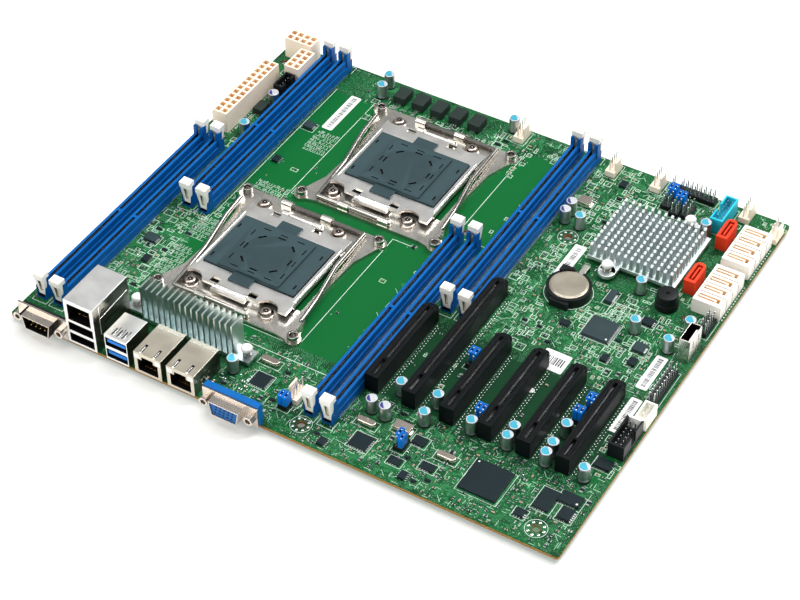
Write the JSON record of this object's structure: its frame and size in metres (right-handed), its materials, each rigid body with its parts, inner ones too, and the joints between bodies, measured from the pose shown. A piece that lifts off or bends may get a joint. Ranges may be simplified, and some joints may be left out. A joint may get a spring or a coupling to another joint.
{
  "type": "motherboard",
  "caption": "Rectangular green circuit board with two square hinged processor sockets, long latched memory sockets, card slots, rear port shells, two heatsinks and a coin cell.",
  "frame": {"origin": "middle of the board's flat underside", "axes": "+X along the long rear edge, the side with the video port and card slots; +Y from the rear port edge across the board; +Z out of the component side"},
  "size_m": [0.3048, 0.2619, 0.0318],
  "materials": {
    "board_laminate": "green solder mask with fine relief",
    "blue_plastic": "moulded, slight sheen",
    "cream_plastic": "moulded",
    "black_plastic": "moulded, fine grain",
    "nickel_steel": "nickel plated sheet",
    "backplate_steel": "zinc plated sheet",
    "bright_steel": "bright plated",
    "slate_plastic": "moulded, satin",
    "bare_aluminium": "bare extruded",
    "white_plastic": "moulded",
    "orange_plastic": "moulded"
  },
  "bodies": {
    "board": {"pcb": "board_laminate", "dimm_sockets": "blue_plastic", "cpu_sockets": "black_plastic", "ilm_frames": "nickel_steel", "ilm_backplates": "backplate_steel", "ilm_screws": "bright_steel", "cooler_studs": "bright_steel", "slots_short": "black_plastic", "slot_long": "black_plastic", "power_main": "cream_plastic", "power_cpu": "cream_plastic", "serial_shell": "nickel_steel", "serial_insert": "black_plastic", "lan_usb_stack": "nickel_steel", "usb3_stack": "nickel_steel", "lan_ports": "nickel_steel", "vga_shell": "nickel_steel", "vga_body": "blue_plastic", "fin_heatsink": "bare_aluminium", "pin_heatsink": "bare_aluminium", "push_pins": "white_plastic", "battery_holder": "black_plastic", "battery_contact": "nickel_steel", "buzzer": "black_plastic", "sata_white": "white_plastic", "sata_orange": "orange_plastic", "shrouded_headers": "black_plastic", "pin_headers": "black_plastic", "fan_headers": "cream_plastic", "usb_upright": "nickel_steel", "jumper_caps": "blue_plastic", "capacitors": "bare_aluminium", "chokes": "black_plastic", "chips": "black_plastic", "crystals": "nickel_steel"},
    "latch_1n": {"latch_1n": "cream_plastic"},
    "latch_1f": {"latch_1f": "cream_plastic"},
    "latch_2n": {"latch_2n": "cream_plastic"},
    "latch_2f": {"latch_2f": "cream_plastic"},
    "latch_3n": {"latch_3n": "cream_plastic"},
    "latch_3f": {"latch_3f": "cream_plastic"},
    "latch_4n": {"latch_4n": "cream_plastic"},
    "latch_4f": {"latch_4f": "cream_plastic"},
    "latch_5n": {"latch_5n": "cream_plastic"},
    "latch_5f": {"latch_5f": "cream_plastic"},
    "latch_6n": {"latch_6n": "cream_plastic"},
    "latch_6f": {"latch_6f": "cream_plastic"},
    "latch_7n": {"latch_7n": "cream_plastic"},
    "latch_7f": {"latch_7f": "cream_plastic"},
    "latch_8n": {"latch_8n": "cream_plastic"},
    "latch_8f": {"latch_8f": "cream_plastic"},
    "lever_left_a": {"lever_left_a": "bright_steel"},
    "lever_right_a": {"lever_right_a": "bright_steel"},
    "load_plate_a": {"load_plate_a": "nickel_steel"},
    "cover_a": {"cover_a": "slate_plastic"},
    "lever_left_b": {"lever_left_b": "bright_steel"},
    "lever_right_b": {"lever_right_b": "bright_steel"},
    "load_plate_b": {"load_plate_b": "nickel_steel"},
    "cover_b": {"cover_b": "slate_plastic"},
    "coin_cell": {"coin_cell": "bright_steel"}
  },
  "joints": [
    {"name": "latch_1n_hinge", "type": "hinge", "parent": "board", "child": "latch_1n", "pos_m": [-0.1453, -0.1083, 0.0056], "axis": [1, 0, 0], "range_deg": [0, 28]},
    {"name": "latch_1f_hinge", "type": "hinge", "parent": "board", "child": "latch_1f", "pos_m": [-0.1453, 0.0288, 0.0056], "axis": [-1, 0, 0], "range_deg": [0, 28]},
    {"name": "latch_2n_hinge", "type": "hinge", "parent": "board", "child": "latch_2n", "pos_m": [-0.1352, -0.1083, 0.0056], "axis": [1, 0, 0], "range_deg": [0, 28]},
    {"name": "latch_2f_hinge", "type": "hinge", "parent": "board", "child": "latch_2f", "pos_m": [-0.1352, 0.0288, 0.0056], "axis": [-1, 0, 0], "range_deg": [0, 28]},
    {"name": "latch_3n_hinge", "type": "hinge", "parent": "board", "child": "latch_3n", "pos_m": [-0.1229, -0.0153, 0.0056], "axis": [1, 0, 0], "range_deg": [0, 28]},
    {"name": "latch_3f_hinge", "type": "hinge", "parent": "board", "child": "latch_3f", "pos_m": [-0.1229, 0.1218, 0.0056], "axis": [-1, 0, 0], "range_deg": [0, 28]},
    {"name": "latch_4n_hinge", "type": "hinge", "parent": "board", "child": "latch_4n", "pos_m": [-0.1128, -0.0153, 0.0056], "axis": [1, 0, 0], "range_deg": [0, 28]},
    {"name": "latch_4f_hinge", "type": "hinge", "parent": "board", "child": "latch_4f", "pos_m": [-0.1128, 0.1218, 0.0056], "axis": [-1, 0, 0], "range_deg": [0, 28]},
    {"name": "latch_5n_hinge", "type": "hinge", "parent": "board", "child": "latch_5n", "pos_m": [0.0116, -0.1083, 0.0056], "axis": [1, 0, 0], "range_deg": [0, 28]},
    {"name": "latch_5f_hinge", "type": "hinge", "parent": "board", "child": "latch_5f", "pos_m": [0.0116, 0.0288, 0.0056], "axis": [-1, 0, 0], "range_deg": [0, 28]},
    {"name": "latch_6n_hinge", "type": "hinge", "parent": "board", "child": "latch_6n", "pos_m": [0.0217, -0.1083, 0.0056], "axis": [1, 0, 0], "range_deg": [0, 28]},
    {"name": "latch_6f_hinge", "type": "hinge", "parent": "board", "child": "latch_6f", "pos_m": [0.0217, 0.0288, 0.0056], "axis": [-1, 0, 0], "range_deg": [0, 28]},
    {"name": "latch_7n_hinge", "type": "hinge", "parent": "board", "child": "latch_7n", "pos_m": [0.032, -0.0153, 0.0056], "axis": [1, 0, 0], "range_deg": [0, 28]},
    {"name": "latch_7f_hinge", "type": "hinge", "parent": "board", "child": "latch_7f", "pos_m": [0.032, 0.1218, 0.0056], "axis": [-1, 0, 0], "range_deg": [0, 28]},
    {"name": "latch_8n_hinge", "type": "hinge", "parent": "board", "child": "latch_8n", "pos_m": [0.0422, -0.0153, 0.0056], "axis": [1, 0, 0], "range_deg": [0, 28]},
    {"name": "latch_8f_hinge", "type": "hinge", "parent": "board", "child": "latch_8f", "pos_m": [0.0422, 0.1218, 0.0056], "axis": [-1, 0, 0], "range_deg": [0, 28]},
    {"name": "lever_left_a_hinge", "type": "hinge", "parent": "board", "child": "lever_left_a", "pos_m": [-0.0615, -0.0716, 0.005], "axis": [1, 0, 0], "range_deg": [0, 95]},
    {"name": "lever_right_a_hinge", "type": "hinge", "parent": "board", "child": "lever_right_a", "pos_m": [-0.0615, 0.0074, 0.005], "axis": [-1, 0, 0], "range_deg": [0, 95]},
    {"name": "load_plate_a_hinge", "type": "hinge", "parent": "board", "child": "load_plate_a", "pos_m": [-0.0615, 0, 0.0056], "axis": [-1, 0, 0], "range_deg": [0, 90]},
    {"name": "cover_a_lift", "type": "slide", "parent": "load_plate_a", "child": "cover_a", "axis": [0, 0, 1], "range_m": [0, 0.008]},
    {"name": "lever_left_b_hinge", "type": "hinge", "parent": "board", "child": "lever_left_b", "pos_m": [-0.036, 0.021, 0.005], "axis": [1, 0, 0], "range_deg": [0, 95]},
    {"name": "lever_right_b_hinge", "type": "hinge", "parent": "board", "child": "lever_right_b", "pos_m": [-0.036, 0.1, 0.005], "axis": [-1, 0, 0], "range_deg": [0, 95]},
    {"name": "load_plate_b_hinge", "type": "hinge", "parent": "board", "child": "load_plate_b", "pos_m": [-0.036, 0.0926, 0.0056], "axis": [-1, 0, 0], "range_deg": [0, 90]},
    {"name": "cover_b_lift", "type": "slide", "parent": "load_plate_b", "child": "cover_b", "axis": [0, 0, 1], "range_m": [0, 0.008]},
    {"name": "coin_cell_lift", "type": "slide", "parent": "board", "child": "coin_cell", "axis": [0, 0, 1], "range_m": [0, 0.012]}
  ]
}
